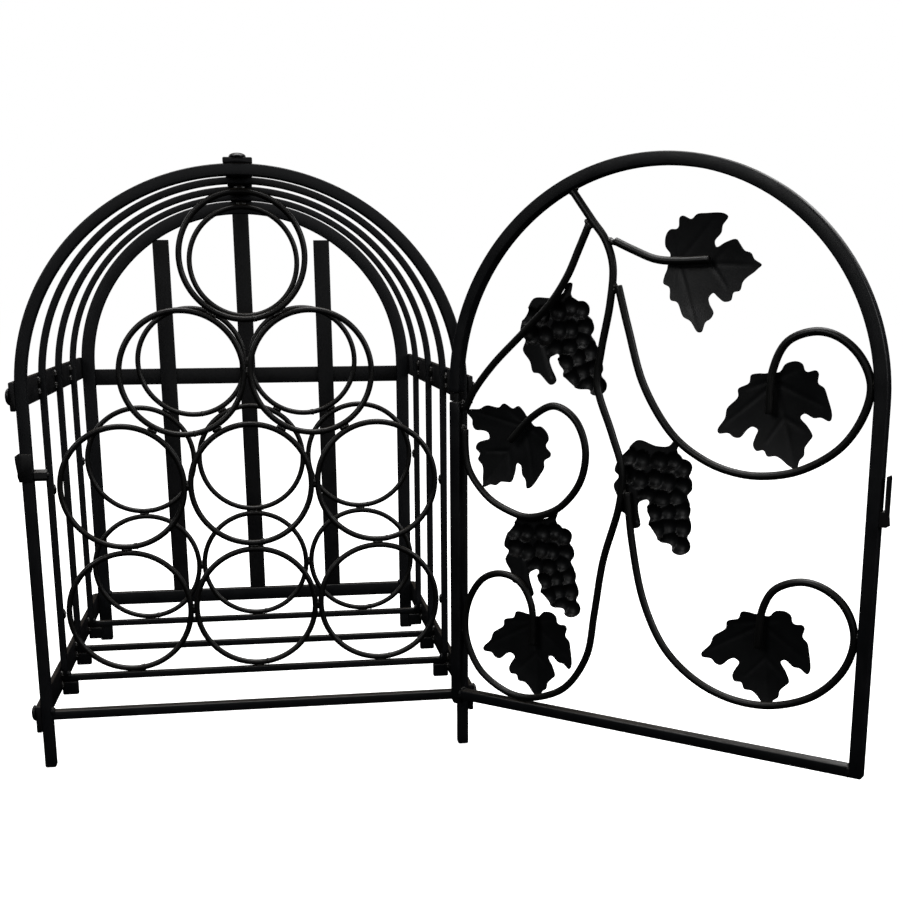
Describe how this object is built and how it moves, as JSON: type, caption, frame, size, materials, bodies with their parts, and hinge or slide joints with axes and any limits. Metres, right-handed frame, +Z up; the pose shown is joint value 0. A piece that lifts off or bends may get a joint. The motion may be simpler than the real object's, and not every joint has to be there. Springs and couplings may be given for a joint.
{
  "type": "wine rack",
  "caption": "Arched wine rack of bent bar hoops and stacked wire rings, with a hinged front door of vine scrolls, leaves and grapes.",
  "frame": {"origin": "centre of the whole object's footprint on the floor, with the door open as it rests", "axes": "+Z up, the rack's front faces -Y, the door is hung on the +X side"},
  "size_m": [0.5856, 0.6422, 0.4658],
  "materials": {
    "bar_steel": "satin black powder coat on square and flat bar",
    "flat_steel": "satin black powder coat on flat strip",
    "ring_wire": "satin black powder coat on bent wire",
    "vine_rod": "satin black powder coat on bent round rod",
    "stamped_ornament": "satin black powder coat on stamped sheet",
    "fixings": "semi-gloss black lacquer on bolts, pins and clips"
  },
  "bodies": {
    "rack": {"front_hoop": "bar_steel", "second_hoop": "bar_steel", "third_hoop": "bar_steel", "fourth_hoop": "bar_steel", "rear_hoop": "bar_steel", "top_stringer": "flat_steel", "left_middle_stringer": "flat_steel", "right_middle_stringer": "flat_steel", "left_lower_stringer": "flat_steel", "right_lower_stringer": "flat_steel", "front_ring_row1_left": "ring_wire", "front_ring_row1_middle": "ring_wire", "front_ring_row1_right": "ring_wire", "front_ring_row2_left": "ring_wire", "front_ring_row2_middle": "ring_wire", "front_ring_row2_right": "ring_wire", "front_ring_row3_left": "ring_wire", "front_ring_row3_right": "ring_wire", "front_ring_row4_top": "ring_wire", "rear_ring_row1_left": "ring_wire", "rear_ring_row1_middle": "ring_wire", "rear_ring_row1_right": "ring_wire", "rear_ring_row2_left": "ring_wire", "rear_ring_row2_middle": "ring_wire", "rear_ring_row2_right": "ring_wire", "rear_ring_row3_left": "ring_wire", "rear_ring_row3_right": "ring_wire", "rear_ring_row4_top": "ring_wire", "back_slat_left": "flat_steel", "back_slat_middle": "flat_steel", "back_slat_right": "flat_steel", "back_band": "flat_steel", "hinge_lug_upper": "fixings", "hinge_lug_lower": "fixings", "hinge_pin_upper": "fixings", "hinge_pin_lower": "fixings", "catch_plate": "fixings", "catch_bolt": "fixings", "top_bolt": "fixings", "left_middle_bolt": "fixings", "right_middle_bolt": "fixings", "left_lower_bolt": "fixings", "right_lower_bolt": "fixings"},
    "door": {"door_frame": "bar_steel", "vine_stem": "vine_rod", "vine_branch_top_right": "vine_rod", "vine_branch_top_left": "vine_rod", "vine_scroll_upper_right": "vine_rod", "vine_scroll_lower_left": "vine_rod", "vine_scroll_lower_right": "vine_rod", "leaf_top_right": "stamped_ornament", "leaf_middle_right": "stamped_ornament", "leaf_middle_left": "stamped_ornament", "leaf_lower_left": "stamped_ornament", "leaf_lower_right": "stamped_ornament", "grapes_upper": "stamped_ornament", "grapes_middle": "stamped_ornament", "grapes_lower": "stamped_ornament", "door_clip": "fixings"}
  },
  "joints": [
    {"name": "door_hinge", "type": "hinge", "parent": "rack", "child": "door", "pos_m": [0.04458, -0.09117, 0.2], "axis": [0, 0, 1], "range_deg": [-137.25, 38]}
  ]
}
